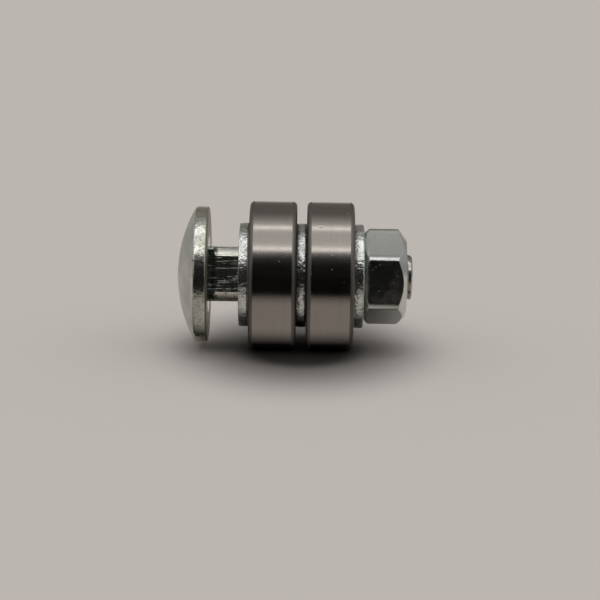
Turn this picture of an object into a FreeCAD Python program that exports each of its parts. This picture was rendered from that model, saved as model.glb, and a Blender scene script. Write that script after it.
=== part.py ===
import FreeCAD, Part
import math
import os

# A bandsaw roller guide: two shielded ball bearings on a carriage bolt, spaced by plain washers and
# clamped by a hexagon nut. The bolt lies along +X, the underside of its head is at the origin and +Z is up.
# Lengths are in millimetres, angles in degrees.

# Bearing outside
bearing_bore = 8.0
bearing_outside = 22.0
bearing_width = 7.0
outer_corner_radius = 0.7
bore_corner_radius = 0.4

# Balls and races
ball_count = 7
ball_diameter = 3.969
race_clearance = 0.03
race_radius_per_ball = 0.52
race_gap = 2.9

# Ribbon cage
cage_sheet = 0.25
cage_width = 1.8
pocket_clearance = 0.06
rivet_diameter = 0.6
rivet_clearance = 0.01
rivet_head_diameter = 1.1
rivet_head_height = 0.25

# Shields
shield_sheet = 0.2
shield_gap = 0.15
shield_rim_radius = 0.2
shield_rim_clearance = 0.01
shield_seat_depth = 0.5
shield_ledge = 0.35
shield_slope = 0.25
shield_dish = 0.25
shield_bend_radius = 0.1
inner_step = 0.25

# Washers
washer_outside = 15.5
washer_thickness = 1.5
washer_clearance = 0.25
washer_rolled_edge = 0.3
washer_cut_edge = 0.08

# Carriage bolt
head_diameter = 20.2
head_rim = 1.9
head_dome = 2.7
head_crease_radius = 0.6
head_underside_radius = 0.35
shank_clearance = 0.05
neck_length = 4.6
neck_step = 0.1
neck_corner_step = 0.8
neck_root_step = 1.45
neck_root_length = 0.9
neck_root_run = 0.5
neck_turn = -11.0
bolt_protrusion = 0.9
point_step = 0.55
point_length = 1.0
point_taper = 0.6
point_edge_radius = 0.2

# Hexagon nut
nut_across_flats = 12.7
nut_height = 6.3
nut_edge_radius = 0.7
nut_seat_step = 0.1
nut_seat_angle = 30.0
nut_crown_step = 0.6
nut_crown_angle = 40.0
nut_countersink = 0.25
thread_clearance = 0.02

# Radii and places that follow from the sizes above
pitch_radius = (bearing_bore + bearing_outside) / 4
ball_radius = ball_diameter / 2
race_radius = race_radius_per_ball * ball_diameter
inner_land_radius = pitch_radius - race_gap / 2
outer_land_radius = pitch_radius + race_gap / 2
inner_race_centre = pitch_radius - ball_radius - race_clearance + race_radius
outer_race_centre = pitch_radius + ball_radius + race_clearance - race_radius
mid_plane = bearing_width / 2
pocket_radius = ball_radius + pocket_clearance
pocket_outside = pocket_radius + cage_sheet
shield_recess = mid_plane - pocket_outside - shield_gap - shield_sheet
shield_rim_place = shield_recess + shield_sheet / 2
seat_mouth_radius = outer_land_radius + shield_seat_depth
inner_step_radius = inner_land_radius - inner_step
shank_radius = bearing_bore / 2 - shank_clearance
washer_bore_radius = shank_radius + washer_clearance
neck_width = 2 * (shank_radius + neck_step)

# Stations along the bolt
head_washer_place = neck_length
head_bearing_place = head_washer_place + washer_thickness
middle_washer_place = head_bearing_place + bearing_width
nut_bearing_place = middle_washer_place + washer_thickness
nut_washer_place = nut_bearing_place + bearing_width
nut_place = nut_washer_place + washer_thickness
bolt_length = nut_place + nut_height + bolt_protrusion

ORIGIN = FreeCAD.Vector(0, 0, 0)
ALONG = FreeCAD.Vector(1, 0, 0)
SHARP = 0


def at(x, radius=0.0, angle=0.0):
    """A point at a place along the bolt, a distance from its axis and an angle from straight up."""
    turn = math.radians(angle)
    return FreeCAD.Vector(x, radius * math.sin(turn), radius * math.cos(turn))


def rounded_face(corners, radii):
    """A flat face with straight sides between corners, each rounded to its own radius."""
    count = len(corners)
    edges = []
    ends = []
    for i, (corner, radius) in enumerate(zip(corners, radii)):
        if radius == SHARP:
            ends.append((corner, corner))
            continue
        back = (corners[i - 1] - corner).normalize()
        ahead = (corners[(i + 1) % count] - corner).normalize()
        half = back.getAngle(ahead) / 2
        inward = (back + ahead).normalize()
        enter = corner + back * (radius / math.tan(half))
        leave = corner + ahead * (radius / math.tan(half))
        crest = corner + inward * (radius / math.sin(half) - radius)
        edges.append(Part.Arc(enter, crest, leave).toShape())
        ends.append((enter, leave))
    for i in range(count):
        edges.append(Part.LineSegment(ends[i][1], ends[(i + 1) % count][0]).toShape())
    return Part.Face(Part.Wire(Part.__sortEdges__(edges)))


def turned(outline):
    """A solid turned about the bolt axis from (place, radius, corner radius) steps."""
    corners = [at(x, radius) for x, radius, _ in outline]
    radii = [corner_radius for _, _, corner_radius in outline]
    return rounded_face(corners, radii).revolve(ORIGIN, ALONG, 360)


def tube(inside, outside, start, length):
    """A plain round tube on the bolt axis."""
    outer = Part.makeCylinder(outside, length, at(start), ALONG)
    return outer.cut(Part.makeCylinder(inside, length, at(start), ALONG))


def mirrored(shape):
    """The same piece on the other side of the bearing's mid-plane."""
    return shape.mirror(at(mid_plane), ALONG)


def race_groove(centre_radius):
    """The ring-shaped track that a row of balls runs in."""
    return Part.makeTorus(centre_radius, race_radius, at(mid_plane), ALONG)


def outer_ring():
    """Outer ring: rounded corners outside, a race inside and an undercut shield seat at each side."""
    room = shield_rim_radius + shield_rim_clearance
    lip = shield_rim_place - room
    seat = shield_rim_place + room
    undercut_radius = seat_mouth_radius + room
    half = [
        (0, bearing_outside / 2, outer_corner_radius),
        (0, seat_mouth_radius, SHARP),
        (lip, seat_mouth_radius, SHARP),
        (lip, undercut_radius, SHARP),
        (seat, undercut_radius, SHARP),
        (seat, outer_land_radius, SHARP),
    ]
    other_half = [(bearing_width - x, radius, corner) for x, radius, corner in reversed(half)]
    return turned(half + other_half).cut(race_groove(outer_race_centre))


def inner_ring():
    """Inner ring: a race outside and a step at each side that the shield's lip runs over."""
    step_length = shield_recess - shield_dish + shield_sheet + shield_gap
    half = [
        (0, bearing_bore / 2, bore_corner_radius),
        (0, inner_step_radius, SHARP),
        (step_length, inner_step_radius, SHARP),
        (step_length, inner_land_radius, SHARP),
    ]
    other_half = [(bearing_width - x, radius, corner) for x, radius, corner in reversed(half)]
    return turned(half + other_half).cut(race_groove(inner_race_centre))


def shield():
    """Pressed shield: a rolled rim for the ring's seat, a ledge, and a disc dished towards the face."""
    step_top = seat_mouth_radius - shield_ledge
    step_foot = step_top - shield_slope
    lip_radius = inner_step_radius + shield_gap
    front = [
        (shield_recess, seat_mouth_radius, SHARP),
        (shield_recess, step_top, shield_bend_radius),
        (shield_recess - shield_dish, step_foot, shield_bend_radius),
        (shield_recess - shield_dish, lip_radius, SHARP),
    ]
    back = [(x + shield_sheet, radius, corner) for x, radius, corner in reversed(front)]
    rim = Part.makeTorus(seat_mouth_radius, shield_rim_radius, at(shield_rim_place), ALONG)
    return turned(front + back).fuse(rim).removeSplitter()


def ball_angles():
    """The angles from straight up at which the balls sit."""
    return [i * 360 / ball_count for i in range(ball_count)]


def rivet_angles():
    """The angles of the cage's rivets, midway between the balls."""
    return [angle + 180 / ball_count for angle in ball_angles()]


def ball(angle):
    """One ball on the pitch circle."""
    return Part.makeSphere(ball_radius, at(mid_plane, pitch_radius, angle))


def cage_half():
    """One half of the ribbon cage: flat tabs on the mid-plane and a round pocket for each ball."""
    inside = pitch_radius - cage_width / 2
    outside = pitch_radius + cage_width / 2
    band = tube(inside, outside, mid_plane - pocket_outside, pocket_outside)
    tabs = tube(inside, outside, mid_plane - cage_sheet, cage_sheet)
    centres = [at(mid_plane, pitch_radius, angle) for angle in ball_angles()]
    swells = [Part.makeSphere(pocket_outside, centre).common(band) for centre in centres]
    pockets = [Part.makeSphere(pocket_radius, centre) for centre in centres]
    hole_radius = rivet_diameter / 2 + rivet_clearance
    holes = [
        Part.makeCylinder(hole_radius, cage_sheet, at(mid_plane - cage_sheet, pitch_radius, angle), ALONG)
        for angle in rivet_angles()
    ]
    return tabs.fuse(swells).cut(pockets + holes).removeSplitter()


def rivet(angle):
    """One cage rivet with a domed head at each end."""
    head_radius = rivet_head_diameter / 2
    dome_radius = (head_radius ** 2 + rivet_head_height ** 2) / (2 * rivet_head_height)
    grip = 2 * cage_sheet
    shank = Part.makeCylinder(rivet_diameter / 2, grip, at(-cage_sheet), ALONG)
    head = Part.makeCylinder(head_radius, rivet_head_height, at(-cage_sheet - rivet_head_height), ALONG)
    dome = Part.makeSphere(dome_radius, at(-cage_sheet - rivet_head_height + dome_radius))
    left_head = head.common(dome)
    right_head = left_head.mirror(ORIGIN, ALONG)
    return shank.fuse([left_head, right_head]).translated(at(mid_plane, pitch_radius, angle))


def bearing(name, place):
    """All the pieces of one ball bearing, by node name."""
    near_half = cage_half()
    near_shield = shield()
    pieces = {
        "outer_ring": outer_ring(),
        "inner_ring": inner_ring(),
        "cage_half_1": near_half,
        "cage_half_2": mirrored(near_half),
        "cage_rivets": Part.makeCompound([rivet(angle) for angle in rivet_angles()]),
        "shield_1": near_shield,
        "shield_2": mirrored(near_shield),
    }
    for number, angle in enumerate(ball_angles(), start=1):
        pieces[f"ball_{number}"] = ball(angle)
    return {f"{name}_{piece}": shape.translated(at(place)) for piece, shape in pieces.items()}


def washer(place):
    """Stamped washer: rolled edges on the punched side, crisp edges on the other."""
    return turned([
        (place, washer_bore_radius, washer_cut_edge),
        (place, washer_outside / 2, washer_cut_edge),
        (place + washer_thickness, washer_outside / 2, washer_rolled_edge),
        (place + washer_thickness, washer_bore_radius, washer_rolled_edge),
    ])


def rim_edge(shape, place):
    """The full circle of a turned shape that lies nearest to a place along the bolt."""
    circles = [edge for edge in shape.Edges if isinstance(edge.Curve, Part.Circle) and edge.isClosed()]
    return min(circles, key=lambda edge: abs(edge.Curve.Center.x - place))


def bolt_head():
    """Low mushroom head: a shallow dome over a rounded rim, flat underneath."""
    radius = head_diameter / 2
    height = head_rim + head_dome
    dome_radius = (radius ** 2 + head_dome ** 2) / (2 * head_dome)
    blank = Part.makeCylinder(radius, height, at(-height), ALONG)
    head = blank.common(Part.makeSphere(dome_radius, at(dome_radius - height)))
    creased = head.makeFillet(head_crease_radius, [rim_edge(head, -head_rim)])
    return creased.makeFillet(head_underside_radius, [rim_edge(creased, 0)])


def bolt_neck():
    """Square neck: corners nearly full at the head, then rounded like the wire it was pressed from."""
    half_width = neck_width / 2
    square = Part.makeBox(neck_length, neck_width, neck_width, FreeCAD.Vector(0, -half_width, -half_width))
    square.rotate(ORIGIN, ALONG, neck_turn)
    corner_radius = half_width + neck_corner_step
    root_radius = half_width + neck_root_step
    round_corners = turned([
        (0, 0, SHARP),
        (0, root_radius, SHARP),
        (neck_root_length, root_radius, SHARP),
        (neck_root_length + neck_root_run, corner_radius, SHARP),
        (neck_length, corner_radius, SHARP),
        (neck_length, 0, SHARP),
    ])
    return square.common(round_corners)


def carriage_bolt():
    """Carriage bolt in one piece, with a plain shank of the thread's outside and a short point."""
    point_radius = shank_radius - point_step
    point_start = bolt_length - point_length
    shank = turned([
        (-head_rim, 0, SHARP),
        (-head_rim, shank_radius, SHARP),
        (point_start - point_taper, shank_radius, SHARP),
        (point_start, point_radius, SHARP),
        (bolt_length, point_radius, point_edge_radius),
        (bolt_length, 0, SHARP),
    ])
    return bolt_head().fuse([bolt_neck(), shank]).removeSplitter()


def hex_nut():
    """Hexagon nut: rounded corner edges, a chamfer at its seat and a deeper crown at its outer face."""
    half_flats = nut_across_flats / 2
    corner_radius = half_flats / math.cos(math.radians(30))
    corners = [at(0, corner_radius, 60 * side) for side in range(6)]
    prism = rounded_face(corners, [nut_edge_radius] * len(corners)).extrude(ALONG * nut_height)
    seat_radius = half_flats - nut_seat_step
    crown_radius = half_flats - nut_crown_step
    seat_rise = (corner_radius - seat_radius) * math.tan(math.radians(nut_seat_angle))
    crown_drop = (corner_radius - crown_radius) * math.tan(math.radians(nut_crown_angle))
    chamfers = turned([
        (0, 0, SHARP),
        (0, seat_radius, SHARP),
        (seat_rise, corner_radius, SHARP),
        (nut_height - crown_drop, corner_radius, SHARP),
        (nut_height, crown_radius, SHARP),
        (nut_height, 0, SHARP),
    ])
    bore_radius = shank_radius + thread_clearance
    bore = turned([
        (0, 0, SHARP),
        (0, bore_radius + nut_countersink, SHARP),
        (nut_countersink, bore_radius, SHARP),
        (nut_height - nut_countersink, bore_radius, SHARP),
        (nut_height, bore_radius + nut_countersink, SHARP),
        (nut_height, 0, SHARP),
    ])
    return prism.common(chamfers).cut(bore).translated(at(nut_place))


def roller_guide():
    """Every piece of the guide, by node name."""
    return {
        "carriage_bolt": carriage_bolt(),
        "head_washer": washer(head_washer_place),
        "middle_washer": washer(middle_washer_place),
        "nut_washer": washer(nut_washer_place),
        "hex_nut": hex_nut(),
        **bearing("head_bearing", head_bearing_place),
        **bearing("nut_bearing", nut_bearing_place),
    }


os.makedirs("parts", exist_ok=True)
for node, shape in roller_guide().items():
    shape.exportStep(f"parts/{node}.step")
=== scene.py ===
"""Looks of a bandsaw roller guide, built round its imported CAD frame.

Two shielded ball bearings turn on a square-necked carriage bolt, spaced by stamped washers and clamped by a
hexagon nut. The bolt lies along +X, the underside of its head is at the origin and +Z is up. Sizes are in
millimetres, and a finished mesh is scaled to metres.
"""

import logging
import math
from collections.abc import Iterable
from dataclasses import dataclass
from enum import Enum
from functools import cached_property

import bmesh
import bpy
from bmesh.types import BMEdge, BMesh, BMVert
from mathutils import Matrix, Quaternion, Vector, noise


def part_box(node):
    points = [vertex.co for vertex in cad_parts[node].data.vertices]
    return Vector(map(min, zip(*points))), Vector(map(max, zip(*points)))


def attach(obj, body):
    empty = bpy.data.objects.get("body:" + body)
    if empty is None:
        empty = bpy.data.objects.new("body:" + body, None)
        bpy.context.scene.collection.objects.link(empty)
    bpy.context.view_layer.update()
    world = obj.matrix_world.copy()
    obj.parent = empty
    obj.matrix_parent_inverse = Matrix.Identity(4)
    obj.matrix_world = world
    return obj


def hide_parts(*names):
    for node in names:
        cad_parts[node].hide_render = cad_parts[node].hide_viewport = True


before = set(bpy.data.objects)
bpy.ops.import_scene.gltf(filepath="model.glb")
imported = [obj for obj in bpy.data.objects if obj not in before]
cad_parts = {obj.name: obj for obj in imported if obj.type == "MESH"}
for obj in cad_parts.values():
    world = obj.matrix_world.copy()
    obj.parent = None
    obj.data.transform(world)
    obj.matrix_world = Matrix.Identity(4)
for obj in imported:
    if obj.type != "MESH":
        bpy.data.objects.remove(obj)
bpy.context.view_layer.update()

LOG = logging.getLogger("roller_guide")

MM = 0.001
ORIGIN = Vector((0.0, 0.0, 0.0))
ALONG = Vector((1.0, 0.0, 0.0))
BLACK = (0.0, 0.0, 0.0)

Pair = tuple[float, float]
Place = tuple[float, float, float]
Colour = tuple[float, float, float]
Object = bpy.types.Object
Socket = bpy.types.NodeSocket
Sockets = bpy.types.NodeOutputs
Value = float | tuple[float, ...] | Socket
Look = tuple[Socket, Socket, Socket]


def start_of(node: str) -> float:
    """Read where a CAD node begins along the bolt, in millimetres."""
    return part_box(node)[0].x / MM


def end_of(node: str) -> float:
    """Read where a CAD node ends along the bolt, in millimetres."""
    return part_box(node)[1].x / MM


NECK_LENGTH = start_of("head_washer")
NUT_PLACE = start_of("hex_nut")
BOLT_BODY = "bolt_assembly"


class Slot(Enum):
    """The record's material slots."""

    BOLT = "bolt_zinc"
    WASHER = "washer_zinc"
    NUT = "nut_zinc"
    BEARING = "bearing_steel"
    SHIELD = "shield_steel"
    CAGE = "cage_steel"
    BALL = "ball_steel"


class Face(Enum):
    """The two side faces of a bearing, by the number of the shield there."""

    HEAD_SIDE = 1
    NUT_SIDE = 2


class Way(Enum):
    """How a piece is made, as the end of its name."""

    THREADED = "threaded"
    STAMPED = "stamped"
    GROUND = "ground"
    PRESSED = "pressed"


# Node trees


def opaque(colour: Value) -> Value:
    """Give a colour its fourth number, and leave a socket as it is."""
    return colour if isinstance(colour, Socket) else (*colour, 1.0)


class Wiring:
    """A node tree in the making."""

    def __init__(self, tree: bpy.types.NodeTree) -> None:
        """Take a node tree and clear it."""
        self.tree = tree
        tree.nodes.clear()

    @classmethod
    def of(cls, owner: bpy.types.Material | bpy.types.World) -> "Wiring":
        """Take the cleared node tree of a material or a world."""
        owner.use_nodes = True
        return cls(owner.node_tree)

    @cached_property
    def point(self) -> Socket:
        """Take the Object coordinates."""
        return self.add("TexCoord").outputs["Object"]

    def add(
        self, kind: str, inputs: dict[str | int, Value] | None = None, **settings: object,
    ) -> bpy.types.Node:
        """Add a node, with its inputs set to values or linked from sockets.

        Args:
            kind: The node's type, without the ShaderNode prefix.
            inputs: What each input takes, by its name or number.
            settings: The node's own properties.

        Returns:
            The new node.
        """
        node = self.tree.nodes.new(f"ShaderNode{kind}")
        for name, value in settings.items():
            setattr(node, name, value)
        for name, value in (inputs or {}).items():
            if isinstance(value, Socket):
                self.tree.links.new(value, node.inputs[name])
            else:
                node.inputs[name].default_value = value
        return node

    def show(self, shader: Socket, output: str = "OutputMaterial") -> None:
        """Send a shader to the tree's output."""
        self.add(output, {"Surface": shader})

    def effect(self, kind: type["Effect"], **values: Value) -> Sockets:
        """Put a shared effect in the material, with its own values."""
        return self.add("Group", {"Point": self.point, **values}, node_tree=kind.group()).outputs

    def split(self, vector: Socket) -> Sockets:
        """Split a vector into X, Y and Z."""
        return self.add("SeparateXYZ", {0: vector}).outputs

    def vector(self, operation: str, *values: Value) -> Sockets:
        """Work out a vector or a number from vectors."""
        return self.add("VectorMath", dict(enumerate(values)), operation=operation).outputs

    def math(self, operation: str, *values: Value) -> Socket:
        """Work out one number from others."""
        return self.add("Math", dict(enumerate(values)), operation=operation).outputs[0]

    def times(self, first: Value, second: Value) -> Socket:
        """Multiply two numbers."""
        return self.math("MULTIPLY", first, second)

    def plus(self, base: Value, value: Value, amount: Value) -> Socket:
        """Add a value to a base, times an amount."""
        return self.math("MULTIPLY_ADD", value, amount, base)

    def fade(self, value: Value, start: float, end: float, low: float = 0.0, high: float = 1.0) -> Socket:
        """Pass smoothly from a low to a high value between two places.

        Args:
            value: The number that is followed.
            start: Where the result is still low.
            end: Where the result has become high.
            low: The result before the start.
            high: The result after the end.

        Returns:
            The faded number.
        """
        inputs = {"Value": value, "From Min": start, "From Max": end, "To Min": low, "To Max": high}
        return self.add("MapRange", inputs, interpolation_type="SMOOTHSTEP").outputs["Result"]

    def between(self, place: Value, start: float, end: float) -> Socket:
        """Pass smoothly from 0 to 1 between two places in millimetres."""
        return self.fade(place, start * MM, end * MM)

    def blend(self, share: Value, first: Value, second: Value) -> Socket:
        """Mix two numbers by a share."""
        return self.add("Mix", {0: share, 2: first, 3: second}, data_type="FLOAT").outputs[0]

    def tint(self, share: Value, first: Value, second: Value) -> Socket:
        """Mix two colours by a share."""
        inputs = {0: share, 6: opaque(first), 7: opaque(second)}
        return self.add("Mix", inputs, data_type="RGBA").outputs[2]

    def colour_where(self, ground: Value, where: Socket, strength: Value, colour: Value) -> Socket:
        """Colour a ground where a mask says, at a strength."""
        return self.tint(self.times(where, strength), ground, colour)


class Effect:
    """A surface effect that several finishes share, as a shader node group built once."""

    NAME = ""
    INPUTS: dict[str, str] = {}
    OUTPUTS: tuple[str, ...] = ()

    @classmethod
    def group(cls) -> bpy.types.NodeTree:
        """Find the node group, or build it.

        Returns:
            The group, with its sockets made and wired.
        """
        tree = bpy.data.node_groups.get(cls.NAME)
        if tree:
            return tree
        tree = bpy.data.node_groups.new(cls.NAME, "ShaderNodeTree")
        for name, kind in {"Point": "Vector", **cls.INPUTS}.items():
            tree.interface.new_socket(name=name, in_out="INPUT", socket_type=f"NodeSocket{kind}")
        for name in cls.OUTPUTS:
            tree.interface.new_socket(name=name, in_out="OUTPUT", socket_type="NodeSocketFloat")
        wiring = Wiring(tree)
        given = tree.nodes.new("NodeGroupInput").outputs
        leave = tree.nodes.new("NodeGroupOutput").inputs
        for name, socket in zip(cls.OUTPUTS, cls.wire(wiring, given)):
            tree.links.new(socket, leave[name])
        return tree

    @classmethod
    def wire(cls, wiring: Wiring, given: Sockets) -> tuple[Socket, ...]:
        """Wire the inside of the group.

        Args:
            wiring: The group's node tree.
            given: The group's inputs.

        Returns:
            What goes to each output, in their order.
        """
        raise NotImplementedError


class Turned(Effect):
    """Where a point lies on the turned piece: its place along the bolt and its distance from the axis."""

    NAME = "turned_place"
    OUTPUTS = ("Along", "Radius")
    ACROSS = (0.0, 1.0, 1.0)

    @classmethod
    def wire(cls, wiring: Wiring, given: Sockets) -> tuple[Socket, ...]:
        """Read the place along the axis, and measure from the axis."""
        across = wiring.vector("MULTIPLY", given["Point"], cls.ACROSS)[0]
        return wiring.split(given["Point"])["X"], wiring.vector("LENGTH", across)["Value"]


class Streaks(Effect):
    """Tool lines: a noise stretched by its own measure in each direction."""

    NAME = "tool_lines"
    INPUTS = {"Stretch": "Vector", "Detail": "Float"}
    OUTPUTS = ("Line",)
    ROUGHNESS = 0.6

    @classmethod
    def wire(cls, wiring: Wiring, given: Sockets) -> tuple[Socket, ...]:
        """Stretch the point, then read a noise there.

        Args:
            wiring: The group's node tree.
            given: The group's inputs.

        Returns:
            The line.
        """
        point = wiring.vector("MULTIPLY", given["Point"], given["Stretch"])[0]
        inputs = {"Vector": point, "Scale": 1.0, "Detail": given["Detail"], "Roughness": cls.ROUGHNESS}
        return (wiring.add("TexNoise", inputs).outputs[0],)


class Blotches(Effect):
    """Uneven plating: soft clouds with a finer grain in them."""

    NAME = "plating_blotches"
    INPUTS = {"Scale": "Float", "Fineness": "Float"}
    OUTPUTS = ("Cloud", "Grain")
    CLOUD_DETAIL = 4.0
    CLOUD_BEND = 0.6
    CLOUD_BAND = (0.32, 0.68)
    GRAIN_DETAIL = 3.0

    @classmethod
    def wire(cls, wiring: Wiring, given: Sockets) -> tuple[Socket, ...]:
        """Read a bent cloud noise and a fine grain.

        Args:
            wiring: The group's node tree.
            given: The group's inputs.

        Returns:
            The cloud and the grain.
        """
        bent = {"Scale": given["Scale"], "Detail": cls.CLOUD_DETAIL, "Distortion": cls.CLOUD_BEND}
        cloud = wiring.add("TexNoise", {"Vector": given["Point"], **bent}).outputs[0]
        fine = {"Scale": given["Fineness"], "Detail": cls.GRAIN_DETAIL}
        grain = wiring.add("TexNoise", {"Vector": given["Point"], **fine}).outputs[0]
        return wiring.fade(cloud, *cls.CLOUD_BAND), grain


class Nicks(Effect):
    """Handling marks: a few short nicks, scattered one to some of the cells of a grid."""

    NAME = "handling_nicks"
    INPUTS = {"Stretch": "Vector", "Share": "Float", "Size": "Float"}
    OUTPUTS = ("Nick",)
    SLOPE = (0.0, 0.6)

    @classmethod
    def wire(cls, wiring: Wiring, given: Sockets) -> tuple[Socket, ...]:
        """Mark the middles of the cells that a random number picks.

        Args:
            wiring: The group's node tree.
            given: The group's inputs.

        Returns:
            The nick.
        """
        point = wiring.vector("MULTIPLY", given["Point"], given["Stretch"])[0]
        cells = wiring.add("TexVoronoi", {"Vector": point, "Scale": 1.0}).outputs
        lot = wiring.add("SeparateColor", {0: cells["Color"]}).outputs[0]
        picked = wiring.math("LESS_THAN", lot, given["Share"])
        near = wiring.math("SUBTRACT", 1.0, wiring.math("DIVIDE", cells["Distance"], given["Size"]))
        return (wiring.times(picked, wiring.fade(near, *cls.SLOPE)),)


# Finishes


@dataclass(frozen=True)
class Finish:
    """A metal finish, made once as a procedural material on Object coordinates."""

    name: str
    slot: Slot
    colour: Colour
    roughness: float
    bump_depth: float

    def material(self) -> bpy.types.Material:
        """Find the material, or build it.

        Returns:
            The material, with its shader wired.
        """
        found = bpy.data.materials.get(self.name)
        if found:
            return found
        material = bpy.data.materials.new(self.name)
        wiring = Wiring.of(material)
        colour, roughness, height = self.surface(wiring)
        inputs = {"Height": height, "Distance": self.bump_depth * MM, "Strength": 1.0}
        normal = wiring.add("Bump", inputs).outputs[0]
        inputs = {"Base Color": colour, "Roughness": roughness, "Normal": normal, "Metallic": 1.0}
        wiring.show(wiring.add("BsdfPrincipled", inputs).outputs[0])
        return material

    def surface(self, wiring: Wiring) -> Look:
        """Wire what changes over the surface.

        Args:
            wiring: The material's node tree.

        Returns:
            The colour, the roughness and the height for the bump.
        """
        raise NotImplementedError


@dataclass(frozen=True)
class GroundSteel(Finish):
    """Ring steel: ground round the rim, dull and darker on the turned corners and side faces."""

    dull_colour: Colour = (0.235, 0.22, 0.20)
    pit_colour: Colour = (0.03, 0.026, 0.022)
    dull_roughness: float = 0.50
    rim_radius: float = 11.0
    rim_margin: float = 0.004
    speckle_band: Pair = (0.44, 0.34)
    speckle_shade: float = 0.14
    line_shade: float = 0.10
    line_middle: float = 0.5
    line_haze: float = 0.12
    cloud_haze: float = 0.03
    fleck_haze: float = 0.40
    grain_height: float = 1.9
    nick_height: float = -3.0
    fleck_height: float = 5.0

    def surface(self, wiring: Wiring) -> Look:
        """Wire grinding lines round the axis, dull corners, fine grain, nicks and a few pits.

        Args:
            wiring: The material's node tree.

        Returns:
            The colour, the roughness and the height.
        """
        ground = self.rim_radius - self.rim_margin
        rim = wiring.between(wiring.effect(Turned)["Radius"], ground - 2 * self.rim_margin, ground)
        fine = wiring.effect(Streaks, Stretch=(11000, 150, 150), Detail=3.0)["Line"]
        broad = wiring.effect(Streaks, Stretch=(1600, 90, 90), Detail=2.0)["Line"]
        cloud, grain = wiring.effect(Blotches, Scale=260.0, Fineness=9000.0)
        nick = wiring.effect(Nicks, Stretch=(420, 900, 900), Share=0.05, Size=0.28)["Nick"]
        pit = wiring.effect(Nicks, Stretch=(330, 330, 330), Share=0.02, Size=0.06)["Nick"]
        fleck = wiring.effect(Nicks, Stretch=(1700, 4200, 4200), Share=0.012, Size=0.30)["Nick"]
        steel = wiring.tint(rim, self.dull_colour, self.colour)
        speckle = wiring.times(wiring.fade(grain, *self.speckle_band), self.speckle_shade)
        darker = wiring.tint(wiring.plus(speckle, broad, self.line_shade), steel, BLACK)
        colour = wiring.tint(pit, darker, self.pit_colour)
        plain = wiring.blend(rim, self.dull_roughness, self.roughness)
        uneven = wiring.plus(plain, wiring.math("SUBTRACT", fine, self.line_middle), self.line_haze)
        worn = wiring.plus(uneven, cloud, self.cloud_haze)
        roughness = wiring.plus(worn, fleck, self.fleck_haze)
        lines = wiring.plus(fine, grain, self.grain_height)
        nicked = wiring.plus(lines, nick, self.nick_height)
        return colour, roughness, wiring.plus(nicked, fleck, self.fleck_height)


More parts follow.
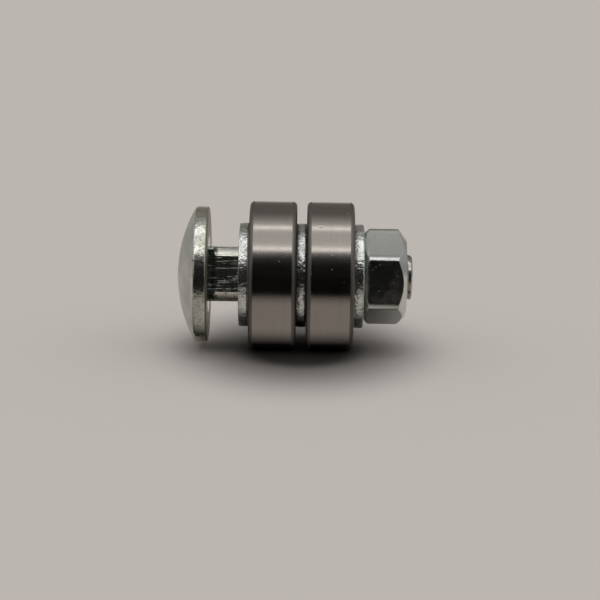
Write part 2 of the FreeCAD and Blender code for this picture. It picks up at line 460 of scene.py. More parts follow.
@dataclass(frozen=True)
class BoltZinc(Finish):
    """Bright zinc on a forged bolt: satin dome, mottled rim and draw marks along the square neck."""

    tarnish: Colour = (0.72, 0.71, 0.60)
    olive: Colour = (0.36, 0.355, 0.25)
    dome_colour: Colour = (0.665, 0.665, 0.635)
    dome_haze: Colour = (0.56, 0.57, 0.535)
    dirt: Colour = (0.09, 0.085, 0.07)
    root_tone: Colour = (0.20, 0.245, 0.205)
    # painted shade on the underside of the head's rim
    underside_shade_colour: Colour = (0.40, 0.37, 0.28)
    thread_colour: Colour = (0.36, 0.365, 0.34)
    olive_share: float = 0.55
    root_share: float = 0.8
    dirt_share: float = 0.75
    seat_share: float = 0.9
    dome_share: float = 0.92
    dome_roughness: float = 0.44
    seat_roughness: float = 0.42
    cloud_haze: float = 0.06
    dome_start: Pair = (-1.90, -2.15)
    seat_start: Pair = (-0.30, -0.12)
    seat_edge: Pair = (5.6, 5.8)
    neck_start: Pair = (0.02, 0.1)
    neck_end: Pair = (NECK_LENGTH + 0.1, NECK_LENGTH)
    root_end: Pair = (1.3, 0.9)
    shank_start: Pair = (NECK_LENGTH + 0.1, NECK_LENGTH + 0.6)
    olive_band: Pair = (0.50, 0.62)
    thread_mottle_band: Pair = (0.38, 0.62)
    thread_mottle_shares: Pair = (0.45, 0.75)
    ridge_band: Pair = (0.525, 0.67)
    ridge_height: float = 2.3
    plain_peel: float = 1.2
    rim_peel: float = 8.0

    def surface(self, wiring: Wiring) -> Look:
        """Wire plating blotches, the dome's satin, the rim's mottling and the neck's draw marks.

        Args:
            wiring: The material's node tree.

        Returns:
            The colour, the roughness and the height.
        """
        along, radius = wiring.effect(Turned)
        dome = wiring.between(along, *self.dome_start)
        outside = wiring.between(radius, *self.seat_edge)
        seat = wiring.times(outside, wiring.between(along, *self.seat_start))
        neck = wiring.times(wiring.between(along, *self.neck_start), wiring.between(along, *self.neck_end))
        root = wiring.times(neck, wiring.between(along, *self.root_end))
        shank = wiring.between(along, *self.shank_start)
        cloud, grain = wiring.effect(Blotches, Scale=420.0, Fineness=2600.0)
        drawn = wiring.effect(Streaks, Stretch=(190, 4300, 4300), Detail=3.0)["Line"]
        pit = wiring.effect(Nicks, Stretch=(1500, 1500, 1500), Share=0.12, Size=0.34)["Nick"]
        patch = wiring.times(wiring.fade(grain, *self.olive_band), outside)
        thread_mottle = wiring.fade(grain, *self.thread_mottle_band, *self.thread_mottle_shares)
        mottled = wiring.tint(cloud, self.colour, self.tarnish)
        patched = wiring.colour_where(mottled, patch, self.olive_share, self.olive)
        # the neck turns darker and greener near its root by the head
        root_toned = wiring.colour_where(patched, root, self.root_share, self.root_tone)
        pitted = wiring.colour_where(root_toned, pit, self.dirt_share, self.dirt)
        # painted shade: the underside of the head's rim is coloured darker by the washer
        underside_shaded = wiring.colour_where(pitted, seat, self.seat_share, self.underside_shade_colour)
        # the threaded shank is darkened in random patches
        threaded = wiring.colour_where(underside_shaded, shank, thread_mottle, self.thread_colour)
        satin = wiring.tint(cloud, self.dome_colour, self.dome_haze)
        colour = wiring.colour_where(threaded, dome, self.dome_share, satin)
        plain = wiring.blend(dome, self.roughness, self.dome_roughness)
        duller = wiring.blend(seat, plain, self.seat_roughness)
        roughness = wiring.plus(duller, cloud, self.cloud_haze)
        hammered = wiring.times(outside, wiring.math("SUBTRACT", 1.0, dome))
        peel = wiring.times(grain, wiring.blend(hammered, self.plain_peel, self.rim_peel))
        ridge = wiring.times(wiring.fade(drawn, *self.ridge_band), neck)
        return colour, roughness, wiring.plus(peel, ridge, self.ridge_height)


@dataclass(frozen=True)
class WasherZinc(Finish):
    """Bright zinc on a stamped washer: smooth faces and a torn, speckled edge."""

    tarnish: Colour = (0.70, 0.715, 0.68)
    torn_colour: Colour = (0.20, 0.20, 0.185)
    torn_share: float = 0.7
    torn_height: float = 10.0
    rim_radius: float = 7.75
    edge_depth: float = 0.28
    full_depth: float = 0.16
    crevice_band: Pair = (0.44, 0.36)
    cloud_haze: float = 0.10

    def surface(self, wiring: Wiring) -> Look:
        """Wire blotches on the faces and torn grain on the cut edge.

        Args:
            wiring: The material's node tree.

        Returns:
            The colour, the roughness and the height.
        """
        radius = wiring.effect(Turned)["Radius"]
        edge = wiring.between(radius, self.rim_radius - self.edge_depth, self.rim_radius - self.full_depth)
        cloud, grain = wiring.effect(Blotches, Scale=900.0, Fineness=3400.0)
        torn = wiring.effect(Streaks, Stretch=(1300, 2300, 2300), Detail=4.0)["Line"]
        plain = wiring.tint(cloud, self.colour, self.tarnish)
        # the torn edge is darker where its bump is low
        crevice = wiring.times(wiring.fade(torn, *self.crevice_band), edge)
        colour = wiring.colour_where(plain, crevice, self.torn_share, self.torn_colour)
        roughness = wiring.plus(self.roughness, cloud, self.cloud_haze)
        return colour, roughness, wiring.plus(grain, wiring.times(torn, edge), self.torn_height)


@dataclass(frozen=True)
class NutZinc(Finish):
    """Satin zinc on a cold-formed nut, with handling nicks on its flats and a darker, greener seat chamfer.
    """

    tarnish: Colour = (0.70, 0.72, 0.68)
    seat_tone: Colour = (0.37, 0.42, 0.365)
    seat_share: float = 0.8
    seat_end: Pair = (NUT_PLACE + 0.8, NUT_PLACE + 0.2)
    edge_band: Pair = (6.85, 7.05)
    cloud_haze: float = 0.11
    seat_haze: float = 0.3
    grain_heights: Pair = (1.8, 5.0)
    line_heights: Pair = (1.2, 3.0)
    nick_height: float = -4.0

    def surface(self, wiring: Wiring) -> Look:
        """Wire blotches, forming lines along the flats, bruised edges, nicks and a darker, greener tone by
        the seat.

        Args:
            wiring: The material's node tree.

        Returns:
            The colour, the roughness and the height.
        """
        along, radius = wiring.effect(Turned)
        edge = wiring.between(radius, *self.edge_band)
        seat = wiring.between(along, *self.seat_end)
        cloud, grain = wiring.effect(Blotches, Scale=520.0, Fineness=6500.0)
        formed = wiring.effect(Streaks, Stretch=(240, 2600, 2600), Detail=3.0)["Line"]
        nick = wiring.effect(Nicks, Stretch=(1900, 1600, 2200), Share=0.16, Size=0.24)["Nick"]
        plain = wiring.tint(cloud, self.colour, self.tarnish)
        # the nut turns darker and greener towards its seat face
        colour = wiring.colour_where(plain, seat, self.seat_share, self.seat_tone)
        smooth = wiring.plus(self.roughness, cloud, self.cloud_haze)
        roughness = wiring.plus(smooth, seat, self.seat_haze)
        bruised = wiring.times(grain, wiring.blend(edge, *self.grain_heights))
        lined = wiring.plus(bruised, formed, wiring.blend(edge, *self.line_heights))
        return colour, roughness, wiring.plus(lined, nick, self.nick_height)


@dataclass(frozen=True)
class PressedSheet(Finish):
    """Cold-rolled sheet, pressed to shape: faint rolling lines and an uneven sheen."""

    oiled: Colour = (0.42, 0.42, 0.405)
    line_haze: float = 0.14
    line_height: float = 0.8
    grain_height: float = 0.4

    def surface(self, wiring: Wiring) -> Look:
        """Wire rolling lines and an uneven film of oil.

        Args:
            wiring: The material's node tree.

        Returns:
            The colour, the roughness and the height.
        """
        cloud, grain = wiring.effect(Blotches, Scale=330.0, Fineness=5200.0)
        rolled = wiring.effect(Streaks, Stretch=(400, 300, 5200), Detail=3.0)["Line"]
        colour = wiring.tint(cloud, self.colour, self.oiled)
        roughness = wiring.plus(self.roughness, rolled, self.line_haze)
        grained = wiring.times(grain, self.grain_height)
        return colour, roughness, wiring.plus(grained, rolled, self.line_height)


@dataclass(frozen=True)
class PolishedBall(Finish):
    """Lapped ball steel, with a thin film of grease."""

    grease: Colour = (0.50, 0.48, 0.43)
    cloud_haze: float = 0.12
    grain_height: float = 0.05

    def surface(self, wiring: Wiring) -> Look:
        """Wire the uneven film of grease.

        Args:
            wiring: The material's node tree.

        Returns:
            The colour, the roughness and the height.
        """
        cloud, grain = wiring.effect(Blotches, Scale=700.0, Fineness=9000.0)
        colour = wiring.tint(cloud, self.colour, self.grease)
        roughness = wiring.plus(self.roughness, cloud, self.cloud_haze)
        return colour, roughness, wiring.times(grain, self.grain_height)


@dataclass(frozen=True)
class Finishes:
    """Every finish on the guide: its name, slot, colour, roughness and depth of bump."""

    bolt: Finish = BoltZinc("bolt_zinc_plate", Slot.BOLT, (0.82, 0.82, 0.765), 0.16, 0.006)
    washer: Finish = WasherZinc("washer_zinc_plate", Slot.WASHER, (0.88, 0.88, 0.855), 0.18, 0.008)
    nut: Finish = NutZinc("nut_zinc_plate", Slot.NUT, (0.72, 0.725, 0.685), 0.125, 0.004)
    ring: Finish = GroundSteel("ground_ring_steel", Slot.BEARING, (0.415, 0.382, 0.345), 0.135, 0.0035)
    shield: Finish = PressedSheet("shield_sheet", Slot.SHIELD, (0.52, 0.515, 0.50), 0.22, 0.003)
    cage: Finish = PressedSheet("cage_sheet", Slot.CAGE, (0.50, 0.50, 0.48), 0.28, 0.003)
    ball: Finish = PolishedBall("lapped_ball_steel", Slot.BALL, (0.60, 0.59, 0.575), 0.05, 0.001)


FINISHES = Finishes()


# Mesh work


def put(name: str, data: bpy.types.ID) -> Object:
    """Put a new object in the scene.

    Args:
        name: The object's name.
        data: Its mesh, light or camera.

    Returns:
        The object.
    """
    placed = bpy.data.objects.new(name, data)
    bpy.context.scene.collection.objects.link(placed)
    return placed


def to_mesh(bm: BMesh, name: str, material: bpy.types.Material) -> bpy.types.Mesh:
    """Turn a mesh in the making into a mesh with a material.

    Args:
        bm: The mesh in the making, which is used up.
        name: The mesh's name.
        material: Its material.

    Returns:
        The mesh.
    """
    mesh = bpy.data.meshes.new(name)
    bm.to_mesh(mesh)
    bm.free()
    mesh.materials.append(material)
    return mesh


def rim_at(bm: BMesh, low: float, high: float) -> list[BMEdge]:
    """Find the open edges of a mesh between two places along the bolt.

    Args:
        bm: The mesh.
        low: The lower place.
        high: The higher place.

    Returns:
        The edges there that have one face.
    """
    return [
        edge for edge in bm.edges
        if edge.is_boundary and all(low <= vert.co.x <= high for vert in edge.verts)
    ]


def radius_of(vert: BMVert) -> float:
    """Measure how far a vertex is from the bolt axis."""
    return math.hypot(vert.co.y, vert.co.z)


def set_radius(vert: BMVert, radius: float) -> None:
    """Move a vertex straight out or in.

    Args:
        vert: The vertex.
        radius: Its new distance from the bolt axis.
    """
    share = radius / radius_of(vert)
    vert.co.y *= share
    vert.co.z *= share


class Piece:
    """A finished piece of the guide."""

    MERGE = 0.0005
    SHARP_DEGREES = 32.0

    @classmethod
    def make(cls, bm: BMesh, node: str, way: Way, finish: Finish, body: str) -> Object:
        """Turn a mesh in millimetres into a piece that rides a body in place of a CAD node.

        Args:
            bm: The mesh, which is used up.
            node: The CAD node that it stands for.
            way: How it is made.
            finish: Its metal finish.
            body: The CAD body that it moves with.

        Returns:
            The piece.
        """
        bmesh.ops.remove_doubles(bm, verts=bm.verts, dist=cls.MERGE)
        bmesh.ops.dissolve_degenerate(bm, edges=bm.edges, dist=cls.MERGE)
        bmesh.ops.recalc_face_normals(bm, faces=bm.faces)
        bmesh.ops.scale(bm, vec=Vector((MM, MM, MM)), verts=bm.verts)
        mesh = to_mesh(bm, f"{node}_{way.value}", finish.material())
        mesh.shade_smooth()
        mesh.set_sharp_from_angle(angle=math.radians(cls.SHARP_DEGREES))
        piece = put(mesh.name, mesh)
        piece.modifiers.new("face_weighted", "WEIGHTED_NORMAL").keep_sharp = True
        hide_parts(node)
        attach(piece, body)
        return piece

    @staticmethod
    def dress(node: str, finish: Finish) -> Object:
        """Give a CAD node that stays in view its finish.

        Args:
            node: The node's name.
            finish: Its metal finish.

        Returns:
            The node's object.
        """
        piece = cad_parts[node]
        for slot in piece.material_slots:
            slot.material = finish.material()
        return piece


class Outline:
    """A half section in the plane of X and Z, drawn point by point, then turned about the bolt axis."""

    STEPS = 192
    CORNER_STEPS = 6

    def __init__(self, bm: BMesh) -> None:
        """Start an empty section.

        Args:
            bm: The mesh that it is drawn in.
        """
        self.bm = bm
        self.points: list[BMVert] = []
        self.corners: dict[float, list[BMVert]] = {}

    def to(self, x: float, radius: float, corner: float = 0.0) -> "Outline":
        """Go straight to a point.

        Args:
            x: The point's place along the bolt.
            radius: Its distance from the axis.
            corner: How far the corner there is rounded back along its two sides.

        Returns:
            The outline.
        """
        point = self.bm.verts.new((x, 0.0, radius))
        if self.points:
            self.bm.edges.new((self.points[-1], point))
        self.points.append(point)
        if corner:
            self.corners.setdefault(corner, []).append(point)
        return self

    def arc(self, x: float, radius: float, degrees: float, steps: int) -> "Outline":
        """Swing from the last point about a centre.

        Args:
            x: The centre's place along the bolt.
            radius: The centre's distance from the axis.
            degrees: How far to swing, positive from straight out towards +X.
            steps: How many straight steps the arc has.

        Returns:
            The outline.
        """
        swung = bmesh.ops.spin(
            self.bm, geom=[self.points[-1]], cent=(x, 0.0, radius), axis=(0.0, 1.0, 0.0),
            angle=math.radians(degrees), steps=steps,
        )
        self.points.append(next(item for item in swung["geom_last"] if isinstance(item, BMVert)))
        return self

    def close(self) -> "Outline":
        """Join the last point to the first."""
        self.bm.edges.new((self.points[-1], self.points[0]))
        return self

    def turn(self, steps: int = STEPS) -> None:
        """Round the corners, then turn the section once about the bolt axis.

        Args:
            steps: How many flat steps the round has.
        """
        for setback, corners in self.corners.items():
            bmesh.ops.bevel(
                self.bm, geom=corners, offset=setback, offset_type="OFFSET", affect="VERTICES",
                segments=self.CORNER_STEPS, profile=0.5, material=-1,
            )
        section = [edge for edge in self.bm.edges if edge.is_wire]
        points = {point for edge in section for point in edge.verts}
        bmesh.ops.spin(
            self.bm, geom=[*points, *section], cent=ORIGIN, axis=ALONG,
            angle=math.tau, steps=steps, use_merge=True,
        )
        bmesh.ops.remove_doubles(self.bm, verts=self.bm.verts, dist=Piece.MERGE)


@dataclass(frozen=True)
class ThreadForm:
    """A coarse metric thread, turned about the bolt axis."""

    pitch: float = 1.25
    crest_radius: float = 3.93
    root_radius: float = 3.25
    crest_width: float = 0.156
    flank_degrees: float = 30.0
    steps: int = 96

    def cut(self, bm: BMesh, start: float, end: float, growth: float = 0.0) -> None:
        """Add a threaded tube, cut square at both ends.

        Args:
            bm: The mesh that gets the thread.
            start: Where the thread begins along the bolt.
            end: Where it ends.
            growth: What is added to its radii, for a nut's thread.
        """
        flank = (self.crest_radius - self.root_radius) * math.tan(math.radians(self.flank_degrees))
        root_width = self.pitch - self.crest_width - 2 * flank
        root, crest = self.root_radius + growth, self.crest_radius + growth
        first = math.floor(start / self.pitch - 1) * self.pitch
        turns = math.ceil((end - first) / self.pitch) + 1
        outline = Outline(bm).to(first, root).to(first + root_width, root)
        outline.to(first + root_width + flank, crest).to(first + root_width + flank + self.crest_width, crest)
        outline.to(first + self.pitch, root)
        section = [edge for edge in bm.edges if edge.is_wire]
        bmesh.ops.spin(
            bm, geom=[*outline.points, *section], cent=ORIGIN, axis=ALONG, angle=math.tau,
            dvec=ALONG * (self.pitch / self.steps), steps=self.steps,
        )
        one_turn = [*bm.verts, *bm.edges, *bm.faces]
        for turn in range(1, turns):
            copy = bmesh.ops.duplicate(bm, geom=one_turn)["geom"]
            moved = [item for item in copy if isinstance(item, BMVert)]
            bmesh.ops.translate(bm, vec=ALONG * (self.pitch * turn), verts=moved)
        bmesh.ops.remove_doubles(bm, verts=bm.verts, dist=Piece.MERGE)
        for place, side in ((start, -1), (end, 1)):
            bmesh.ops.bisect_plane(
                bm, geom=[*bm.verts, *bm.edges, *bm.faces], plane_co=ALONG * place, plane_no=ALONG * side,
                clear_outer=True, dist=Piece.MERGE,
            )


# Sub-assemblies


@dataclass
class CarriageBolt:
    """Carriage bolt: low dome head, square neck and a rolled thread with a short point."""

    head_radius: float = 10.1
    head_rim: float = 1.9
    head_dome: float = 2.7
    crease_corner: float = 0.3
    underside_corner: float = 0.35
    dome_steps: int = 24
    neck_half_width: float = 4.05
    neck_corner_radius: float = 4.85
    neck_root_radius: float = 5.5
    neck_root_length: float = 0.9
    neck_root_run: float = 0.5
    neck_turn: float = -11.0
    shank_radius: float = 3.95
    thread_start: float = 8.0
    runout: float = 0.5
    point_radius: float = 3.4
    point_length: float = 1.0
    point_taper: float = 0.6
    point_chamfer: float = 0.2
    length: float = end_of("carriage_bolt")
    thread: ThreadForm = ThreadForm()

    def build(self) -> list[Object]:
        """Make the bolt in one piece.

        Returns:
            The bolt.
        """
        bm = bmesh.new()
        self.make_thread(bm)
        self.make_head_and_neck(bm)
        self.square_neck(bm)
        joint = rim_at(bm, self.thread_start - self.runout, self.thread_start + Piece.MERGE)
        bmesh.ops.bridge_loops(bm, edges=joint)
        return [Piece.make(bm, "carriage_bolt", Way.THREADED, FINISHES.bolt, BOLT_BODY)]

    def make_thread(self, bm: BMesh) -> None:
        """Roll the thread, taper its point and close its end.

        Args:
            bm: The bolt's mesh, still empty.
        """
        end = self.length - self.point_chamfer
        self.thread.cut(bm, self.thread_start, end)
        point_start = self.length - self.point_length
        for vert in bm.verts:
            climb = min(1.0, max(0.0, (point_start - vert.co.x) / self.point_taper))
            limit = self.point_radius + climb * (self.shank_radius - self.point_radius)
            set_radius(vert, min(radius_of(vert), limit))
        cap = bmesh.ops.contextual_create(bm, geom=rim_at(bm, end - Piece.MERGE, end + Piece.MERGE))["faces"]
        bmesh.ops.recalc_face_normals(bm, faces=bm.faces)
        bmesh.ops.inset_region(
            bm, faces=cap, thickness=self.point_chamfer, depth=self.point_chamfer, use_even_offset=True,
        )

    def make_head_and_neck(self, bm: BMesh) -> None:
        """Turn the head, the blank of the neck and the plain shank.

        Args:
            bm: The bolt's mesh.
        """
        dome_radius = (self.head_radius ** 2 + self.head_dome ** 2) / (2 * self.head_dome)
        apex = -self.head_rim - self.head_dome
        swing = math.degrees(math.asin(self.head_radius / dome_radius))
        root_end = self.neck_root_length + self.neck_root_run
        outline = Outline(bm).to(apex, 0.0)
        outline.arc(dome_radius + apex, 0.0, swing, self.dome_steps)
        outline.corners[self.crease_corner] = [outline.points[-1]]
        outline.to(0.0, self.head_radius, self.underside_corner).to(0.0, self.neck_root_radius)
        outline.to(self.neck_root_length, self.neck_root_radius).to(root_end, self.neck_corner_radius)
        outline.to(NECK_LENGTH, self.neck_corner_radius).to(NECK_LENGTH, self.shank_radius)
        outline.to(self.thread_start - self.runout, self.shank_radius)
        outline.turn()

    def square_neck(self, bm: BMesh) -> None:
        """Press the blank of the neck square, down to its flats.

        Args:
            bm: The bolt's mesh.
        """
        for vert in bm.verts:
            radius = radius_of(vert)
            in_neck = -Piece.MERGE <= vert.co.x <= NECK_LENGTH + Piece.MERGE
            if in_neck and self.neck_half_width < radius <= self.neck_root_radius + Piece.MERGE:
                turn = math.atan2(vert.co.z, vert.co.y) - math.radians(self.neck_turn)
                flats = self.neck_half_width / max(abs(math.cos(turn)), abs(math.sin(turn)))
                set_radius(vert, min(radius, flats))


@dataclass
class StampedWasher:
    """Stamped washer: a smooth sheared land, a torn band below it and a rolled edge."""

    node: str
    bore_radius: float = 4.2
    outside_radius: float = 7.75
    cut_edge: float = 0.08
    rolled_edge: float = 0.3
    torn_share: float = 0.4
    torn_depth: float = 0.06
    steps: int = 420
    edge_cuts: int = 4
    edge_reach: float = 0.15
    wobble: float = 0.05
    wobble_scale: float = 2.2

    def build(self) -> list[Object]:
        """Make the washer.

        Returns:
            The washer.
        """
        bm = bmesh.new()
        near, far = start_of(self.node), end_of(self.node)
        land = near + (far - near) * self.torn_share
        outline = Outline(bm).to(near, self.bore_radius, self.cut_edge)
        outline.to(near, self.outside_radius - self.torn_depth, self.cut_edge)
        outline.to(land, self.outside_radius).to(far, self.outside_radius, self.rolled_edge)
        outline.to(far, self.bore_radius, self.rolled_edge).close().turn(self.steps)
        self.tear(bm)
        return [Piece.make(bm, self.node, Way.STAMPED, FINISHES.washer, BOLT_BODY)]

    def on_edge(self, vert: BMVert) -> bool:
        """Tell whether a vertex lies on the cut edge."""
        return radius_of(vert) > self.outside_radius - self.edge_reach

    def tear(self, bm: BMesh) -> None:
        """Divide the cut edge and make it uneven, never beyond the blank's size.

        Args:
            bm: The washer's mesh.
        """
        across = [
            edge for edge in bm.edges
            if all(self.on_edge(vert) for vert in edge.verts)
            and abs(edge.verts[0].co.x - edge.verts[1].co.x) > self.rolled_edge
        ]
        bmesh.ops.subdivide_edges(bm, edges=across, cuts=self.edge_cuts, use_grid_fill=True)
        for vert in filter(self.on_edge, bm.verts):
            broad = noise.noise(vert.co * self.wobble_scale)
            swell = broad + noise.noise(vert.co * 2 * self.wobble_scale) / 2
            set_radius(vert, radius_of(vert) - self.wobble * min(1.0, abs(swell)))


@dataclass
class BallBearing:
    """Shielded ball bearing: two rings, two pressed shields, a ribbon cage and its balls."""

    name: str
    width: float = 7.0
    bore_radius: float = 4.0
    outside_radius: float = 11.0
    outer_corner: float = 0.7
    bore_corner: float = 0.4
    edge_break: float = 0.06
    inner_land: float = 6.05
    outer_land: float = 8.95
    race_radius: float = 2.06388
    inner_race_centre: float = 7.54938
    outer_race_centre: float = 7.45062
    race_steps: int = 20
    seat_mouth: float = 9.45
    seat_undercut: float = 9.66
    seat_lip: float = 0.7455
    seat_end: float = 1.1655
    step_radius: float = 5.8
    step_length: float = 0.9555
    shield_recess: float = 0.8555
    shield_sheet: float = 0.2
    shield_dish: float = 0.25
    shield_bend: float = 0.08
    shield_step_top: float = 9.1
    shield_step_foot: float = 8.85
    shield_lip: float = 5.95
    bead_radius: float = 0.2
    bead_steps: int = 20
    ball_count: int = 7

    @cached_property
    def place(self) -> float:
        """Read where the bearing begins along the bolt."""
        return start_of(f"{self.name}_outer_ring")

    def build(self) -> list[Object]:
        """Make the rings and shields, and dress the cage and balls.

        Returns:
            The new pieces and the dressed ones.
        """
        pieces = [self.outer_ring(), self.inner_ring(), *(self.shield(face) for face in Face)]
        for part in ("cage_half_1", "cage_half_2", "cage_rivets"):
            pieces.append(Piece.dress(f"{self.name}_{part}", FINISHES.cage))
        for number in range(1, self.ball_count + 1):
            pieces.append(Piece.dress(f"{self.name}_ball_{number}", FINISHES.ball))
        return pieces

    def across(self, x: float) -> float:
        """Mirror a place across the bearing's mid-plane."""
        return 2 * self.place + self.width - x

    def race_swing(self, land: float, centre: float) -> Pair:
        """Find where a race's arc leaves its land.

        Args:
            land: The land's radius.
            centre: The radius of the arc's centre.

        Returns:
            Half the race's width and the arc's whole angle in degrees.
        """
        depth = abs(land - centre)
        half = math.sqrt(self.race_radius ** 2 - depth ** 2)
        return half, 2 * math.degrees(math.atan2(half, depth))

    def outer_ring(self) -> Object:
        """Turn the outer ring: rounded corners, shield seats and a grooved race.

        Returns:
            The ring.
        """
        half, swing = self.race_swing(self.outer_land, self.outer_race_centre)
        near, middle = self.place, self.place + self.width / 2
        seat = [
            (near, self.seat_mouth, self.edge_break), (near + self.seat_lip, self.seat_mouth, 0.0),
            (near + self.seat_lip, self.seat_undercut, 0.0), (near + self.seat_end, self.seat_undercut, 0.0),
            (near + self.seat_end, self.outer_land, 0.0),
        ]
        bm = bmesh.new()
        outline = Outline(bm).to(near, self.outside_radius, self.outer_corner)
        outline.to(self.across(near), self.outside_radius, self.outer_corner)
        for x, radius, corner in seat:
            outline.to(self.across(x), radius, corner)
        outline.to(middle + half, self.outer_land)
        outline.arc(middle, self.outer_race_centre, -swing, self.race_steps)
        for x, radius, corner in reversed(seat):
            outline.to(x, radius, corner)
        outline.close().turn()
        return Piece.make(bm, f"{self.name}_outer_ring", Way.GROUND, FINISHES.ring, f"{self.name}_roller")

    def inner_ring(self) -> Object:
        """Turn the inner ring: a grooved race and a step for each shield's lip.

        Returns:
            The ring.
        """
        half, swing = self.race_swing(self.inner_land, self.inner_race_centre)
        near, middle = self.place, self.place + self.width / 2
        side = [
            (near, self.bore_radius, self.bore_corner), (near, self.step_radius, self.edge_break),
            (near + self.step_length, self.step_radius, 0.0), (near + self.step_length, self.inner_land, 0.0),
        ]
        bm = bmesh.new()
        outline = Outline(bm)
        for x, radius, corner in side:
            outline.to(x, radius, corner)
        outline.to(middle - half, self.inner_land)
        outline.arc(middle, self.inner_race_centre, -swing, self.race_steps)
        for x, radius, corner in reversed(side):
            outline.to(self.across(x), radius, corner)
        outline.close().turn()
        return Piece.make(bm, f"{self.name}_inner_ring", Way.GROUND, FINISHES.ring, BOLT_BODY)

    def shield(self, face: Face) -> Object:
        """Press a shield: a rolled rim in the ring's seat and a disc dished towards the face.

        Args:
            face: The side of the bearing that it closes.

        Returns:
            The shield.
        """
        outer, inner = self.place + self.shield_recess, self.place + self.shield_recess - self.shield_dish
        sheet, bead = self.shield_sheet, outer + self.shield_sheet / 2
        neck = math.sqrt(self.bead_radius ** 2 - (sheet / 2) ** 2)
        swing = 360 - 2 * math.degrees(math.atan2(sheet / 2, neck))
        bm = bmesh.new()
        outline = Outline(bm).to(inner, self.shield_lip)
        outline.to(inner, self.shield_step_foot, self.shield_bend)
        outline.to(outer, self.shield_step_top, self.shield_bend)
        outline.to(outer, self.seat_mouth - neck).arc(bead, self.seat_mouth, swing, self.bead_steps)
        outline.to(outer + sheet, self.shield_step_top, self.shield_bend)
        outline.to(inner + sheet, self.shield_step_foot, self.shield_bend).to(inner + sheet, self.shield_lip)
        outline.close().turn()
        if face is Face.NUT_SIDE:
            for vert in bm.verts:
                vert.co.x = self.across(vert.co.x)
        node = f"{self.name}_shield_{face.value}"
        return Piece.make(bm, node, Way.PRESSED, FINISHES.shield, f"{self.name}_roller")


@dataclass
class HexNut:
    """Hexagon nut: rounded corner edges, a chamfered seat, a deeper crown and a threaded bore."""

    height: float = 6.3
    half_flats: float = 6.35
    sides: int = 6
    edge_radius: float = 0.7
    seat_radius: float = 6.25
    seat_angle: float = 40.0
    crown_radius: float = 5.75
    crown_angle: float = 40.0
    bore_radius: float = 3.99
    countersink: float = 0.3
    edge_break: float = 0.12
    edge_steps: int = 3
    thread_growth: float = 0.06
    steps: int = 288
    thread: ThreadForm = ThreadForm()

    def build(self) -> list[Object]:
        """Make the nut in one piece.

        Returns:
            The nut.
        """
        near, middle, far = NUT_PLACE, NUT_PLACE + self.height / 2, NUT_PLACE + self.height
        inner, outer = near + self.countersink, far - self.countersink
        mouth = self.bore_radius + self.countersink
        bm = bmesh.new()
        self.thread.cut(bm, inner + self.countersink, outer - self.countersink, self.thread_growth)
        outline = Outline(bm).to(inner, self.bore_radius).to(near, mouth).to(near, self.seat_radius)
        outline.to(inner, self.half_flats).to(outer, self.half_flats)
        outline.to(far, self.crown_radius).to(far, mouth).to(outer, self.bore_radius)
        outline.turn(self.steps)
        self.press_hexagon(bm)
        bmesh.ops.bridge_loops(bm, edges=rim_at(bm, inner - Piece.MERGE, middle))
        bmesh.ops.bridge_loops(bm, edges=rim_at(bm, middle, outer + Piece.MERGE))
        return [Piece.make(bm, "hex_nut", Way.THREADED, FINISHES.nut, BOLT_BODY)]

    def reach(self, angle: float) -> float:
        """Measure from the axis to the rounded hexagon.

        Args:
            angle: The direction, in radians from a corner.

        Returns:
            The distance.
        """
        sector = math.tau / self.sides
        half_sector = sector / 2
        from_corner = (angle + half_sector) % sector - half_sector
        from_flat = half_sector - abs(from_corner)
        core = (self.half_flats - self.edge_radius) / math.cos(half_sector)
        tangent = math.atan2((self.half_flats - self.edge_radius) * math.tan(half_sector), self.half_flats)
        if from_flat < tangent:
            return self.half_flats / math.cos(from_flat)
        sag = math.sqrt(self.edge_radius ** 2 - (core * math.sin(from_corner)) ** 2)
        return core * math.cos(from_corner) + sag

    def press_hexagon(self, bm: BMesh) -> None:
        """Push the round blank out to the hexagon, cut by its two chamfers, and break the edges.

        Args:
            bm: The nut's mesh.
        """
        middle, far = NUT_PLACE + self.height / 2, NUT_PLACE + self.height
        pressed = {vert for vert in bm.verts if abs(radius_of(vert) - self.half_flats) < Piece.MERGE}
        for vert in pressed:
            reach = self.reach(math.atan2(vert.co.y, vert.co.z))
            if vert.co.x < middle:
                vert.co.x = NUT_PLACE + (reach - self.seat_radius) * math.tan(math.radians(self.seat_angle))
            else:
                vert.co.x = far - (reach - self.crown_radius) * math.tan(math.radians(self.crown_angle))
            set_radius(vert, reach)
        edges = [
            edge for edge in bm.edges
            if pressed.issuperset(edge.verts)
            and (edge.verts[0].co.x - middle) * (edge.verts[1].co.x - middle) > 0
        ]
        bmesh.ops.bevel(
            bm, geom=edges, offset=self.edge_break, offset_type="OFFSET", affect="EDGES",
            segments=self.edge_steps, profile=0.5, material=-1,
        )


# Studio


@dataclass(frozen=True)
class SkyStop:
    """The studio's brightness and warmth at an angle up from the front horizon and over to the back."""

    degrees: float
    level: float
    warmth: float = 0.0

    def colour(self) -> Colour:
        """Mix the light, with less green and blue where it is warm."""
        return self.level, self.level * (1 - self.warmth / 2), self.level * (1 - self.warmth)


@dataclass(frozen=True)
class Lamp:
    """A distant light overhead, with its spread and tilt in degrees: a tilt below zero is from behind."""

    name: str
    strength: float
    spread: float
    tilt: float

    def hang(self) -> None:
        """Hang the light so that it falls on the floor and casts the shadow, unseen in the metal."""
        light = bpy.data.lights.new(self.name, "SUN")
        light.energy = self.strength
        light.angle = math.radians(self.spread)
        lamp = put(self.name, light)
        lamp.rotation_euler = (math.radians(self.tilt), 0.0, 0.0)
        lamp.visible_glossy = False


